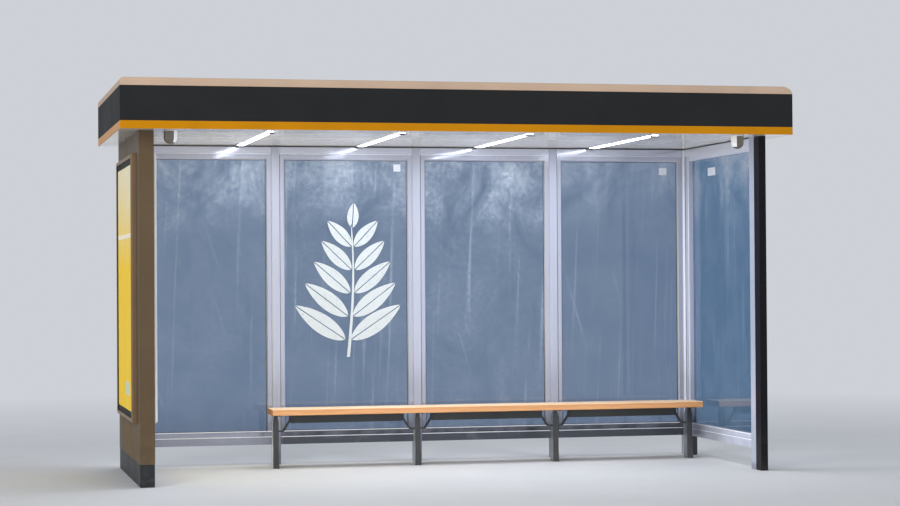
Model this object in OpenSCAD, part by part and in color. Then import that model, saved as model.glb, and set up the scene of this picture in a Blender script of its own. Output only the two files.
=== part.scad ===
// Bus shelter with a lit roof, glass walls, a poster case and a bench
// Millimetres, Z up, X along the front, Y to the rear, origin at the centre of the footprint on the ground

/* [Overall] */
// Width of the roof from end to end
roof_w = 4658; // [4300:2:5000]
// Depth of the roof from the front fascia to the rear fascia
roof_d = 1935; // [1850:1:2200]
// Height from the ground to the underside of the roof
clear_h = 2350; // [2300:1:2500]
// How far the roof reaches past the left end wall
over_left = 134; // [80:1:250]
// How far the roof reaches past the right end panel
over_right = 140; // [80:1:250]
// How far the roof reaches past the front posts
over_front = 160; // [120:1:220]
// How far the roof reaches past the rear wall
over_rear = 160; // [80:1:220]

/* [Roof] */
// Height of the yellow stripe along the bottom of the fascia
stripe_h = 53; // [45:1:80]
// Height of the dark fascia band
band_h = 230; // [180:1:300]
// Height of the rounded roof cap
cap_h = 54; // [40:1:80]
// Radius of the cap's rounded left, front and rear sides
cap_edge_r = 26; // [16:1:100]
// Radius of the cap's rounded right side
cap_right_r = 75; // [16:1:100]
// Thickness of the cap's sheet
cap_t = 4; // [3:0.5:8]
// Thickness of the fascia sheets
fascia_t = 5; // [3:0.5:8]
// Thickness of the soffit panel
soffit_t = 10; // [8:1:16]
// Thickness of the roof deck board
deck_t = 18; // [12:1:24]
// Size of the square tube in the roof frame
roof_tube = 40; // [30:1:45]

/* [Lamps] */
// Distance from the lamps' ends to the front posts' line and to the rear wall
lamp_end_gap = 27; // [10:1:120]
// Width of a lamp housing
lamp_w = 70; // [56:1:90]
// Height of a lamp housing above the soffit
lamp_h = 28; // [20:1:40]
// Width of the glowing lens
lens_w = 46; // [30:1:50]
// How far the lens stands below the soffit
lens_drop = 4; // [2:1:10]
// Distance from the left end of the shelter to the first lamp's middle
lamp_first = 878; // [700:1:950]
// Distance from the right end of the shelter to the last lamp's middle
lamp_last = 806; // [700:1:950]
// Radius of a dome camera's collar
dome_r = 45; // [32:1:55]
// Height of a dome camera's collar
dome_collar_h = 8; // [5:1:30]
// Height of a dome below its collar
dome_drop = 88; // [60:1:120]
// Distance from the left end of the shelter to its dome camera
dome_in_left = 204; // [160:1:400]
// Distance from the right end of the shelter to its dome camera
dome_in_right = 231; // [160:1:400]
// Distance from the front fascia to the dome cameras
dome_back = 105; // [70:1:160]

/* [Rear wall] */
// Width of a rear post
post_w = 62; // [50:1:80]
// Depth of the rear posts
post_d = 60; // [56:1:80]
// Rounding of the rear posts' edges
post_r = 5; // [2:1:6]
// Width of the corner post at the right
corner_w = 76; // [64:1:100]
// How much wider the first bay is than the others
first_more = 11; // [0:1:80]
// Height of the header pieces above the glazing frames
header_h = 57; // [40:1:80]
// How far the header pieces stand back from the posts' faces
header_set = 3; // [1:1:6]
// Height of the beam below the glazing frames
beam_h = 54; // [40:1:80]
// Height of that beam's underside above the ground
beam_z = 148; // [120:1:200]
// Width of a glazing frame's stile
stile_w = 40; // [32:1:55]
// Height of a glazing frame's rail
rail_h = 46; // [36:1:60]
// Thickness of a glazing frame
frame_t = 44; // [36:1:50]
// How far the glazing frames stand back from the posts' faces
frame_set = 6; // [3:1:6]
// Thickness of the glass
glass_t = 8; // [6:1:12]
// How far the glass reaches into its frame
glass_lap = 12; // [8:1:20]
// Width of the sloping bead that leads down to the glass
bead_w = 9; // [4:1:12]
// Depth of that bead
bead_d = 14; // [6:1:14]

/* [Left end] */
// Thickness of the left end wall
end_t = 100; // [80:1:120]
// Thickness of the left end wall's sheet
skin_t = 4; // [3:0.5:6]
// Height of the dark plinth under the left end wall
plinth_h = 149; // [110:1:200]
// How far the plinth stands back from the wall above it
plinth_inset = 2; // [1:1:10]
// Height of the box above the poster case
left_top_h = 140; // [100:1:200]
// Height of the case's underside above the ground
case_z = 410; // [360:1:460]
// Depth of the pillar in front of the case
front_pillar_d = 190; // [150:1:240]
// Depth of the pillar behind the case
rear_pillar_d = 225; // [180:1:280]
// How far the case stands out on each side of the wall
case_out = 36; // [24:1:50]
// Bevel on the case frame's outer edge
case_bevel = 10; // [4:1:12]
// Width of the case frame's border
case_border = 30; // [22:1:50]
// Thickness of the case's clear pane
pane_t = 5; // [4:0.5:8]
// Distance from the case frame's face to its pane
pane_set = 6; // [3:1:8]
// Thickness of a poster sheet
poster_t = 2; // [1:0.5:3]
// Thickness of the ring that stiffens the case inside the wall
core_rim = 40; // [25:1:60]

/* [Right end] */
// Width of the right front post
front_post_w = 51; // [46:1:60]
// Depth of the right front post
front_post_d = 100; // [80:1:120]
// Thickness of the steel tube walls
tube_t = 4; // [3:0.5:6]
// Width of the pale jambs of the right end panel
jamb_d = 90; // [70:1:110]
// Height of the top rail of the right end panel
side_top_h = 98; // [80:1:120]
// How far that panel's glass stands back from its inner face
side_glass_set = 30; // [10:1:30]

/* [Bench] */
// Height of the seat above the ground
seat_h = 430; // [415:1:460]
// Thickness of the seat planks
plank_t = 44; // [36:1:46]
// Width of one seat plank
plank_w = 130; // [110:1:150]
// Gap between the planks
plank_gap = 10; // [6:1:16]
// Rounding of the planks' edges
plank_r = 5; // [2:1:8]
// Length of the bench
bench_len = 3253; // [3000:1:3300]
// Gap between the bench and the right end panel
bench_end_gap = 33; // [20:1:80]
// Distance from the bench to the rear posts
bench_back = 185; // [120:1:240]
// Width of a bench leg's shank seen from the front
leg_w = 41; // [30:1:46]
// Depth of a bench leg's shank
leg_d = 66; // [50:1:76]
// Width of a bench leg's foot
foot_w = 48; // [42:1:60]
// Depth of a bench leg's foot
foot_d = 84; // [78:1:110]
// Height at which the foot's flare has run out
flare_h = 150; // [80:1:200]
// Width of a bench leg's neck where it meets the seat
neck_w = 26; // [16:1:28]
// Depth of a bench leg's neck where it meets the seat
neck_d = 54; // [40:1:66]
// Height of the taper at the top of a leg
neck_h = 50; // [30:1:60]
// Distance from the left end of the bench to its first leg's middle
leg_in_left = 38; // [30:1:60]
// Distance from the right end of the bench to its last leg's middle
leg_in_right = 70; // [40:1:100]
// Width of the flat bars across the top of the legs
rest_w = 50; // [30:1:60]
// Thickness of those bars
rest_t = 6; // [4:1:10]
// How far those bars stop short of the planks' edges
rest_set = 25; // [10:1:60]
// Height of the bench beams
bench_beam = 62; // [46:1:70]
// Width of the bench beams and of the cup brackets
bench_beam_w = 40; // [30:1:50]
// How far the beams stop short of a leg's middle
cup_reach = 112; // [90:1:140]
// Half the width of a cup bracket's base
cup_half = 56; // [45:1:70]
// Height of a cup bracket's base above the ground
cup_z = 262; // [240:1:275]
// Thickness of the bent bar
cup_t = 10; // [6:1:12]
// Height of the bar's upper bend above the beam's underside
knee_up = 20; // [5:1:25]
// Radius of the bar's upper bend
knee_r = 34; // [20:1:40]
// Radius of the bar's bend at the base
cup_r = 16; // [10:1:24]

/* [Hidden] */
$fn = 48;
// Overall derived sizes
x_l = -roof_w / 2 + over_left;
x_r = roof_w / 2 - over_right;
y_f = -roof_d / 2 + over_front;
y_b = roof_d / 2 - over_rear;
roof_x = -roof_w / 2;
roof_y = -roof_d / 2;
z_stripe = clear_h + stripe_h;
z_band = z_stripe + band_h;
cap_steps = 12;
eps = 1;
// Rear wall derived sizes
bays = 4;
y_wall = y_b - post_d;
x_wall_l = x_l + end_t;
x_wall_r = x_r - corner_w;
bay_w = (x_wall_r - x_wall_l - (bays - 1) * post_w - first_more) / bays;
z_header = clear_h - header_h;
z_sill = beam_z + beam_h;
frame_h = z_header - z_sill;
// Right end derived sizes
x_side = x_r - front_post_w;
y_jamb = y_f + front_post_d;
y_side = y_jamb + jamb_d;
y_side_end = y_wall - jamb_d;
// Left end derived sizes
y_case = y_f + front_pillar_d;
y_case_end = y_b - rear_pillar_d;
case_w = y_case_end - y_case;
z_case_top = clear_h - left_top_h;
case_h = z_case_top - case_z;
// Lamp derived sizes
lamp_count = bays;
lamp_pitch = (x_r - x_l - lamp_first - lamp_last) / (lamp_count - 1);
lamp_y = y_f + lamp_end_gap;
lamp_len = y_wall - y_f - 2 * lamp_end_gap;
lens_h = lamp_h / 2;
dome_y = roof_y + dome_back;
dome_lip = 1;
dome_x_l = x_l + dome_in_left;
dome_x_r = x_r - dome_in_right;
// Bench derived sizes
bench_x1 = x_side - bench_end_gap;
bench_x0 = bench_x1 - bench_len;
seat_d = 2 * plank_w + plank_gap;
bench_y0 = y_wall - bench_back - seat_d;
z_seat_low = seat_h - plank_t;
leg_count = 4;
leg_pitch = (bench_len - leg_in_left - leg_in_right) / (leg_count - 1);
seat_y = bench_y0 + seat_d / 2;
z_beam_low = z_seat_low - bench_beam;
z_neck = z_seat_low - rest_t;
z_taper = z_neck - neck_h;
z_knee = z_beam_low + knee_up;
flare_steps = 6;
bend_steps = 8;

function bay_wide(i) = bay_w + (i == 0 ? first_more : 0);
function bay_x(i) = x_wall_l + i * (bay_w + post_w) + (i == 0 ? 0 : first_more);
function leg_x(i) = bench_x0 + leg_in_left + i * leg_pitch;
function lamp_x(i) = x_l + lamp_first + i * lamp_pitch;

// Half of a leg's width at a height, from its foot's and its shank's full widths
function flared(z, foot, shank) = shank / 2 + (foot - shank) / 2 * pow(1 - z / flare_h, 2);

function unit(v) = v / norm(v);

// Points along a round bend of radius r at corner b, on the way from a to c
function bend(a, b, c, r) =
    let (
        u = unit(a - b),
        v = unit(c - b),
        half = acos(u * v) / 2,
        mid = b + unit(u + v) * r / sin(half),
        from = b + u * r / tan(half) - mid,
        to = b + v * r / tan(half) - mid,
        start = atan2(from[1], from[0]),
        sweep = (atan2(to[1], to[0]) - start + 540) % 360 - 180
    )
    [for (i = [0 : bend_steps]) mid + r * [cos(start + sweep * i / bend_steps), sin(start + sweep * i / bend_steps)]];

// A path moved sideways by d
function beside(path, d) = [
    for (i = [0 : len(path) - 1])
        let (way = unit(path[min(i + 1, len(path) - 1)] - path[max(i - 1, 0)]))
        path[i] + d * [-way[1], way[0]]
];

function turned(list) = [for (i = [len(list) - 1 : -1 : 0]) list[i]];

DARK = [0.18, 0.19, 0.20];
YELLOW = [0.86, 0.60, 0.08];
BEIGE = [0.84, 0.74, 0.63];
PALE = [0.80, 0.81, 0.86];
TAUPE = [0.42, 0.36, 0.29];
ALU = [0.74, 0.75, 0.80];
GLASS = [0.55, 0.68, 0.78, 0.35];
STEEL = [0.20, 0.22, 0.24];
WOOD = [0.90, 0.68, 0.46];
WHITE = [0.95, 0.95, 0.97];
PAPER = [0.93, 0.84, 0.45];

// A solid block from its low corner and its size
module block(p, s) {
    translate(p) cube(s);
}

// A rectangular ring of walls, open at the top and at the bottom
module ring_z(p, s, t) {
    difference() {
        block(p, s);
        translate([p[0] + t, p[1] + t, p[2] - eps])
            cube([s[0] - 2 * t, s[1] - 2 * t, s[2] + 2 * eps]);
    }
}

// A rectangular tube that runs along X
module tube_x(p, s, t) {
    difference() {
        block(p, s);
        translate([p[0] - eps, p[1] + t, p[2] + t])
            cube([s[0] + 2 * eps, s[1] - 2 * t, s[2] - 2 * t]);
    }
}

// A rectangular tube that runs along Y
module tube_y(p, s, t) {
    difference() {
        block(p, s);
        translate([p[0] + t, p[1] - eps, p[2] + t])
            cube([s[0] - 2 * t, s[1] + 2 * eps, s[2] - 2 * t]);
    }
}

// A cap's left side, an arc that may be cut off by the base before it stands upright
function cap_side(h, r) =
    let (cut = asin(max(0, (r - h) / r)))
    [
        for (i = [0 : cap_steps])
            let (a = 180 - cut - (90 - cut) * i / cap_steps)
            [r * (cos(cut) + cos(a)), h + r * (sin(a) - 1)]
    ];

// The same side with the foot that it stands on, where its arc doesn't reach the base
function cap_flank(h, r, low) = concat(low > 0 || r < h ? [[0, -low]] : [], cap_side(h, r));

// A cap's cross-section with two rounded sides, reaching down by low
module cap_outline(w, h, left_r, right_r, low) {
    right = [for (p = turned(cap_flank(h, right_r, low))) [w - p[0], p[1]]];
    polygon(concat(cap_flank(h, left_r, low), right));
}

// The cap's rounded slab, inset by a sheet thickness for its inside
module cap_solid(inset, low) {
    w = roof_w - 2 * inset;
    d = roof_d - 2 * inset;
    h = cap_h - inset;
    edge_r = cap_edge_r - inset;
    right_r = cap_right_r - inset;
    intersection() {
        translate([-w / 2, d / 2, 0])
            rotate([90, 0, 0]) linear_extrude(d) cap_outline(w, h, edge_r, right_r, low);
        translate([-w / 2, -d / 2, 0])
            rotate([90, 0, 90]) linear_extrude(w) cap_outline(d, h, edge_r, edge_r, low);
    }
}

module roof_cap() {
    color(BEIGE) translate([0, 0, z_band])
        difference() {
            cap_solid(0, 0);
            cap_solid(cap_t, eps);
        }
}

module roof_deck() {
    color(WOOD)
        block([roof_x + fascia_t, roof_y + fascia_t, z_band - deck_t],
              [roof_w - 2 * fascia_t, roof_d - 2 * fascia_t, deck_t]);
}

// Lower and upper tube rings, with cross members between the lamps and studs that join them
module roof_frame() {
    fx = roof_x + fascia_t;
    fy = roof_y + fascia_t;
    fw = roof_w - 2 * fascia_t;
    fd = roof_d - 2 * fascia_t;
    z0 = clear_h + soffit_t;
    z1 = z_band - deck_t - roof_tube;
    cross_x = [for (i = [0 : lamp_count - 2]) lamp_x(i) + (lamp_pitch - roof_tube) / 2];
    stud_x = concat([fx], cross_x, [fx + fw - roof_tube]);
    color(DARK) union() {
        for (z = [z0, z1]) {
            ring_z([fx, fy, z], [fw, fd, roof_tube], roof_tube);
            for (x = cross_x)
                block([x, fy + roof_tube / 2, z], [roof_tube, fd - roof_tube, roof_tube]);
        }
        for (x = stud_x)
            for (y = [fy, fy + fd - roof_tube])
                block([x, y, z0], [roof_tube, roof_tube, z1 - z0 + roof_tube]);
    }
}

module fascia_band() {
    color(DARK) ring_z([roof_x, roof_y, z_stripe], [roof_w, roof_d, band_h], fascia_t);
}

module fascia_stripe() {
    color(YELLOW) ring_z([roof_x, roof_y, clear_h], [roof_w, roof_d, stripe_h], fascia_t);
}

module soffit_panel() {
    color(PALE) difference() {
        block([roof_x + fascia_t, roof_y + fascia_t, clear_h],
              [roof_w - 2 * fascia_t, roof_d - 2 * fascia_t, soffit_t]);
        for (i = [0 : lamp_count - 1])
            block([lamp_x(i) - lens_w / 2, lamp_y + eps, clear_h - eps],
                  [lens_w, lamp_len - 2 * eps, soffit_t + 2 * eps]);
    }
}

module lamp_housings() {
    color(DARK) for (i = [0 : lamp_count - 1])
        difference() {
            block([lamp_x(i) - lamp_w / 2, lamp_y - 2 * eps, clear_h + soffit_t],
                  [lamp_w, lamp_len + 4 * eps, lamp_h]);
            block([lamp_x(i) - lens_w / 2, lamp_y + eps, clear_h + soffit_t - eps],
                  [lens_w, lamp_len - 2 * eps, lens_h + eps]);
        }
}

module lamp_lenses() {
    color(WHITE) for (i = [0 : lamp_count - 1])
        block([lamp_x(i) - lens_w / 2, lamp_y + eps, clear_h - lens_drop],
              [lens_w, lamp_len - 2 * eps, lens_drop + soffit_t + lens_h]);
}

module dome_collars() {
    color(WHITE) for (x = [dome_x_l, dome_x_r])
        translate([x, dome_y, clear_h - dome_collar_h]) cylinder(h = dome_collar_h, r = dome_r);
}

module dome_globes() {
    r = dome_r - dome_lip;
    color(DARK) for (x = [dome_x_l, dome_x_r])
        translate([x, dome_y, clear_h - dome_collar_h]) {
            translate([0, 0, r - dome_drop]) cylinder(h = dome_drop - r, r = r);
            intersection() {
                translate([0, 0, r - dome_drop]) sphere(r);
                translate([-r, -r, -dome_drop]) cube([2 * r, 2 * r, r]);
            }
        }
}

module rear_header() {
    color(ALU) for (i = [0 : bays - 1])
        tube_x([bay_x(i), y_wall + header_set, z_header], [bay_wide(i), post_d - 2 * header_set, header_h], tube_t);
}

// A rectangle with round corners
module round_outline(w, h, r) {
    translate([r, 0]) square([w - 2 * r, h]);
    translate([0, r]) square([w, h - 2 * r]);
    for (x = [r, w - r])
        for (y = [r, h - r])
            translate([x, y]) circle(r);
}

module wall_post(x, w) {
    translate([x, y_wall, 0]) linear_extrude(clear_h) difference() {
        round_outline(w, post_d, post_r);
        translate([tube_t, tube_t]) square([w - 2 * tube_t, post_d - 2 * tube_t]);
    }
}

module rear_posts() {
    color(ALU) for (i = [1 : bays - 1]) wall_post(bay_x(i) - post_w, post_w);
}

module corner_post() {
    color(ALU) wall_post(x_wall_r, corner_w);
}

module rear_beams() {
    color(ALU) for (i = [0 : bays - 1])
        tube_x([bay_x(i), y_wall + frame_set, beam_z], [bay_wide(i), frame_t, beam_h], tube_t);
}

// The four corners of an upright rectangle at depth y, its sides grown by grow
function corners(w, h, y, grow) = [
    for (p = [[-1, -1], [1, -1], [1, 1], [-1, 1]])
        [p[0] * (w / 2 + grow), y, p[1] * (h / 2 + grow)]
];

// A sloping cut from a frame's face down to its opening, which is w by h
module bead_cut(w, h) {
    slope = bead_w / bead_d;
    polyhedron(
        concat(corners(w, h, -eps, (bead_d + eps) * slope), corners(w, h, bead_d, 0)),
        [[0, 3, 2, 1], [4, 5, 6, 7], [0, 1, 5, 4], [1, 2, 6, 5], [2, 3, 7, 6], [3, 0, 4, 7]]
    );
}

// One glazing frame with a groove that holds the glass and a bead on each side
module glazing_frame(p, w, h) {
    g_y = (frame_t - glass_t) / 2;
    open_w = w - 2 * stile_w;
    open_h = h - 2 * rail_h;
    difference() {
        block(p, [w, frame_t, h]);
        translate([p[0] + stile_w, p[1] - eps, p[2] + rail_h])
            cube([open_w, frame_t + 2 * eps, open_h]);
        translate([p[0] + stile_w - glass_lap, p[1] + g_y, p[2] + rail_h - glass_lap])
            cube([open_w + 2 * glass_lap, glass_t, open_h + 2 * glass_lap]);
        translate([p[0] + w / 2, p[1] + frame_t / 2, p[2] + h / 2])
            for (side = [0, 1])
                mirror([0, side, 0]) translate([0, -frame_t / 2, 0]) bead_cut(open_w, open_h);
    }
}

module glazing_frames() {
    color(ALU) for (i = [0 : bays - 1])
        glazing_frame([bay_x(i), y_wall + frame_set, z_sill], bay_wide(i), frame_h);
}

module bay_glass(i) {
    color(GLASS)
        block([bay_x(i) + stile_w - glass_lap, y_wall + frame_set + (frame_t - glass_t) / 2, z_sill + rail_h - glass_lap],
              [bay_wide(i) - 2 * (stile_w - glass_lap), glass_t, frame_h - 2 * (rail_h - glass_lap)]);
}

module glass_bay_1() { bay_glass(0); }
module glass_bay_2() { bay_glass(1); }
module glass_bay_3() { bay_glass(2); }
module glass_bay_4() { bay_glass(3); }

module left_plinth() {
    color(STEEL)
        ring_z([x_l + plinth_inset, y_f + plinth_inset, 0],
               [end_t - 2 * plinth_inset, y_b - y_f - 2 * plinth_inset, plinth_h], tube_t);
}

module left_front_pillar() {
    color(TAUPE) ring_z([x_l, y_f, plinth_h], [end_t, front_pillar_d, clear_h - plinth_h], skin_t);
}

module left_rear_pillar() {
    color(TAUPE) ring_z([x_l, y_case_end, plinth_h], [end_t, rear_pillar_d, clear_h - plinth_h], skin_t);
}

module left_top_box() {
    color(TAUPE) tube_y([x_l, y_case, z_case_top], [end_t, case_w, left_top_h], skin_t);
}

module left_lower_panel() {
    color(TAUPE) tube_y([x_l, y_case, plinth_h], [end_t, case_w, case_z - plinth_h], skin_t);
}

module case_core() {
    color(DARK) difference() {
        block([x_l, y_case, case_z], [end_t, case_w, case_h]);
        translate([x_l - eps, y_case + core_rim, case_z + core_rim])
            cube([end_t + 2 * eps, case_w - 2 * core_rim, case_h - 2 * core_rim]);
    }
}

// A bevelled border frame for one side of the case, lying flat with its face up
module case_frame() {
    b = case_bevel;
    difference() {
        intersection() {
            translate([0, case_w, 0]) rotate([90, 0, 0])
                linear_extrude(case_w) bevel_outline(case_h, case_out, b);
            rotate([90, 0, 90])
                linear_extrude(case_h) bevel_outline(case_w, case_out, b);
        }
        translate([case_border, case_border, -eps])
            cube([case_h - 2 * case_border, case_w - 2 * case_border, case_out + 2 * eps]);
        translate([case_border - glass_lap, case_border - glass_lap, case_out - pane_set - pane_t - poster_t])
            cube([case_h - 2 * (case_border - glass_lap), case_w - 2 * (case_border - glass_lap), pane_t + poster_t]);
    }
}

module bevel_outline(w, h, b) {
    polygon([[0, 0], [w, 0], [w, h - b], [w - b, h], [b, h], [0, h - b]]);
}

// Stands a flat case piece up against the outer or the inner face of the wall
module stand_outer() {
    translate([x_l, y_case, case_z]) rotate([0, -90, 0]) children();
}

module stand_inner() {
    translate([x_l + end_t, y_case, case_z]) mirror([1, 0, 0]) rotate([0, -90, 0]) children();
}

module case_frame_outer() {
    color(TAUPE) stand_outer() case_frame();
}

module case_frame_inner() {
    color(ALU) stand_inner() case_frame();
}

// A sheet that fills the case frame's groove
module case_sheet(z, t) {
    e = case_border - glass_lap;
    translate([e, e, z]) cube([case_h - 2 * e, case_w - 2 * e, t]);
}

module case_pane_outer() {
    color(GLASS) stand_outer() case_sheet(case_out - pane_set - pane_t, pane_t);
}

module case_pane_inner() {
    color(GLASS) stand_inner() case_sheet(case_out - pane_set - pane_t, pane_t);
}

module poster_outer() {
    color(PAPER) stand_outer() case_sheet(case_out - pane_set - pane_t - poster_t, poster_t);
}

module poster_inner() {
    color(PAPER) stand_inner() case_sheet(case_out - pane_set - pane_t - poster_t, poster_t);
}

module right_front_post() {
    color(STEEL) ring_z([x_side, y_f, 0], [front_post_w, front_post_d, clear_h], tube_t);
}

module side_jambs() {
    color(ALU) {
        ring_z([x_side, y_jamb, 0], [front_post_w, jamb_d, clear_h], tube_t);
        ring_z([x_side, y_side_end, 0], [front_post_w, jamb_d, z_header], tube_t);
    }
}

module side_top_rail() {
    color(ALU) difference() {
        block([x_side, y_side, clear_h - side_top_h], [front_post_w, y_wall - y_side, side_top_h]);
        translate([x_side - eps, y_side_end, clear_h - side_top_h - eps])
            cube([front_post_w + 2 * eps, jamb_d + eps, side_top_h - header_h + eps]);
        side_groove();
    }
}

module side_groove() {
    translate([x_side + side_glass_set, y_side - eps, z_sill + rail_h - glass_lap])
        cube([glass_t, y_side_end - y_side + 2 * eps, clear_h - side_top_h - z_sill - rail_h + 2 * glass_lap]);
}

module side_bottom_rail() {
    color(ALU) difference() {
        block([x_side, y_side, z_sill], [front_post_w, y_side_end - y_side, rail_h]);
        side_groove();
    }
}

module side_beam() {
    color(ALU) tube_y([x_side, y_side, beam_z], [front_post_w, y_side_end - y_side, beam_h], tube_t);
}

module side_glass() {
    color(GLASS)
        block([x_side + side_glass_set, y_side, z_sill + rail_h - glass_lap],
              [glass_t, y_side_end - y_side, clear_h - side_top_h - z_sill - rail_h + 2 * glass_lap]);
}

module plank(y) {
    translate([bench_x0, y, z_seat_low])
        rotate([90, 0, 90]) linear_extrude(bench_len) round_outline(plank_w, plank_t, plank_r);
}

module bench_plank_front() {
    color(WOOD) plank(bench_y0);
}

module bench_plank_rear() {
    color(WOOD) plank(bench_y0 + plank_w + plank_gap);
}

module bench_beams() {
    color(STEEL) for (i = [0 : leg_count - 2])
        tube_x([leg_x(i) + cup_reach, seat_y - bench_beam_w / 2, z_beam_low],
               [leg_pitch - 2 * cup_reach, bench_beam_w, bench_beam], tube_t);
}

// Half of a cup bracket's outline: down the beam's end, along the arm and in to the leg
module cup_half_outline() {
    top = [cup_reach - cup_t / 2, z_seat_low];
    knee = [cup_reach - cup_t / 2, z_knee];
    base = [cup_half, cup_z + cup_t / 2];
    foot = [leg_w / 2, cup_z + cup_t / 2];
    path = concat([top], bend(top, knee, base, knee_r), bend(knee, base, foot, cup_r), [foot]);
    polygon(concat(beside(path, cup_t / 2), turned(beside(path, -cup_t / 2))));
}

module cup_arm(i, side) {
    translate([leg_x(i), seat_y + bench_beam_w / 2, 0]) scale([side, 1, 1])
        rotate([90, 0, 0]) linear_extrude(bench_beam_w) cup_half_outline();
}

module cup_brackets() {
    color(STEEL) for (i = [0 : leg_count - 1]) {
        if (i < leg_count - 1) cup_arm(i, 1);
        if (i > 0) cup_arm(i, -1);
    }
}

// A leg's outline: a flared foot, a straight shank and a neck that narrows up to the seat
module leg_outline(foot, shank, neck) {
    flare = [for (i = [0 : flare_steps]) flare_h * i / flare_steps];
    side = concat(
        [for (z = flare) [flared(z, foot, shank), z]],
        [[shank / 2, z_taper], [neck / 2, z_neck]]
    );
    polygon(concat(side, [for (p = turned(side)) [-p[0], p[1]]]));
}

module bench_leg(x) {
    translate([x, seat_y, 0]) intersection() {
        translate([0, foot_d / 2, 0]) rotate([90, 0, 0])
            linear_extrude(foot_d) leg_outline(foot_w, leg_w, neck_w);
        translate([-foot_w / 2, 0, 0]) rotate([90, 0, 90])
            linear_extrude(foot_w) leg_outline(foot_d, leg_d, neck_d);
    }
}

module bench_legs() {
    color(STEEL) for (i = [0 : leg_count - 1]) bench_leg(leg_x(i));
}

// Flat bars that carry the planks across the legs
module seat_rests() {
    color(STEEL) for (i = [0 : leg_count - 1])
        block([leg_x(i) - rest_w / 2, bench_y0 + rest_set, z_neck], [rest_w, seat_d - 2 * rest_set, rest_t]);
}

roof_cap();
roof_deck();
roof_frame();
fascia_band();
fascia_stripe();
soffit_panel();
lamp_housings();
lamp_lenses();
dome_collars();
dome_globes();
rear_header();
rear_posts();
corner_post();
rear_beams();
glazing_frames();
glass_bay_1();
glass_bay_2();
glass_bay_3();
glass_bay_4();
left_plinth();
left_front_pillar();
left_rear_pillar();
left_top_box();
left_lower_panel();
case_core();
case_frame_outer();
case_frame_inner();
case_pane_outer();
case_pane_inner();
poster_outer();
poster_inner();
right_front_post();
side_jambs();
side_top_rail();
side_bottom_rail();
side_beam();
side_glass();
bench_plank_front();
bench_plank_rear();
bench_beams();
cup_brackets();
bench_legs();
seat_rests();
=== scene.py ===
"""Bus shelter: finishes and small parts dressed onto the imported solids, in metres."""
import logging
import math
from dataclasses import dataclass
from enum import Enum
from functools import reduce
from typing import Iterable, Sequence

import bmesh
import bpy
from mathutils import Matrix, Vector


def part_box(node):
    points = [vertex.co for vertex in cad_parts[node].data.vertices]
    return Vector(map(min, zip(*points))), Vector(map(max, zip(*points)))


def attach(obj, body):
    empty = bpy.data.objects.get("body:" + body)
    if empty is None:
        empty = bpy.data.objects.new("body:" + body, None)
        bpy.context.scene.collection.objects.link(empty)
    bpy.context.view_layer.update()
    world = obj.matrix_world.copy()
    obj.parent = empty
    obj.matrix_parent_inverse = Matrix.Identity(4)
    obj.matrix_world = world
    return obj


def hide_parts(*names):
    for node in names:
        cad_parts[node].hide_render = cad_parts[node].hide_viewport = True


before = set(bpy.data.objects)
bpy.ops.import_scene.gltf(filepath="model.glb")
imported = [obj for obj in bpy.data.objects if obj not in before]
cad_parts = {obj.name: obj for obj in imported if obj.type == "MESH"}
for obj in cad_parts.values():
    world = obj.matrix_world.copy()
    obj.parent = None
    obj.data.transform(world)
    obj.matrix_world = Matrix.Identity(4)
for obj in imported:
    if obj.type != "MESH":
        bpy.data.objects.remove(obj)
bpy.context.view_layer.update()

LOG = logging.getLogger("shelter")
BODY = "root"
MILLI = 0.001
MERGE_REACH = 0.00001
FLAT_ANGLE = math.radians(0.5)
SHARP_ANGLE = math.radians(30.0)
SMOOTH_ANGLE = math.radians(35.0)
TURN_STEPS = 56
SHELL_STEPS = 24
Colour = tuple[float, float, float]
Pair = tuple[float, float]
Socket = bpy.types.NodeSocket
Vert = bmesh.types.BMVert
# Nearly all values of a noise pattern lie between these two.
NOISE_RANGE: Pair = (0.3, 0.7)


def srgb(red: int, green: int, blue: int) -> Colour:
    """Turn a colour as it is seen on a screen into the linear one that a shader takes.

    Args:
        red: Red from 0 to 255.
        green: Green from 0 to 255.
        blue: Blue from 0 to 255.

    Returns:
        The linear colour.
    """
    def linear(value: int) -> float:
        """Return one channel in linear light."""
        share = value / 255
        return share / 12.92 if share <= 0.04045 else ((share + 0.055) / 1.055) ** 2.4

    return linear(red), linear(green), linear(blue)


class Axis(Enum):
    """The three directions of the part's frame, by index."""

    X = 0
    Y = 1
    Z = 2


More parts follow.
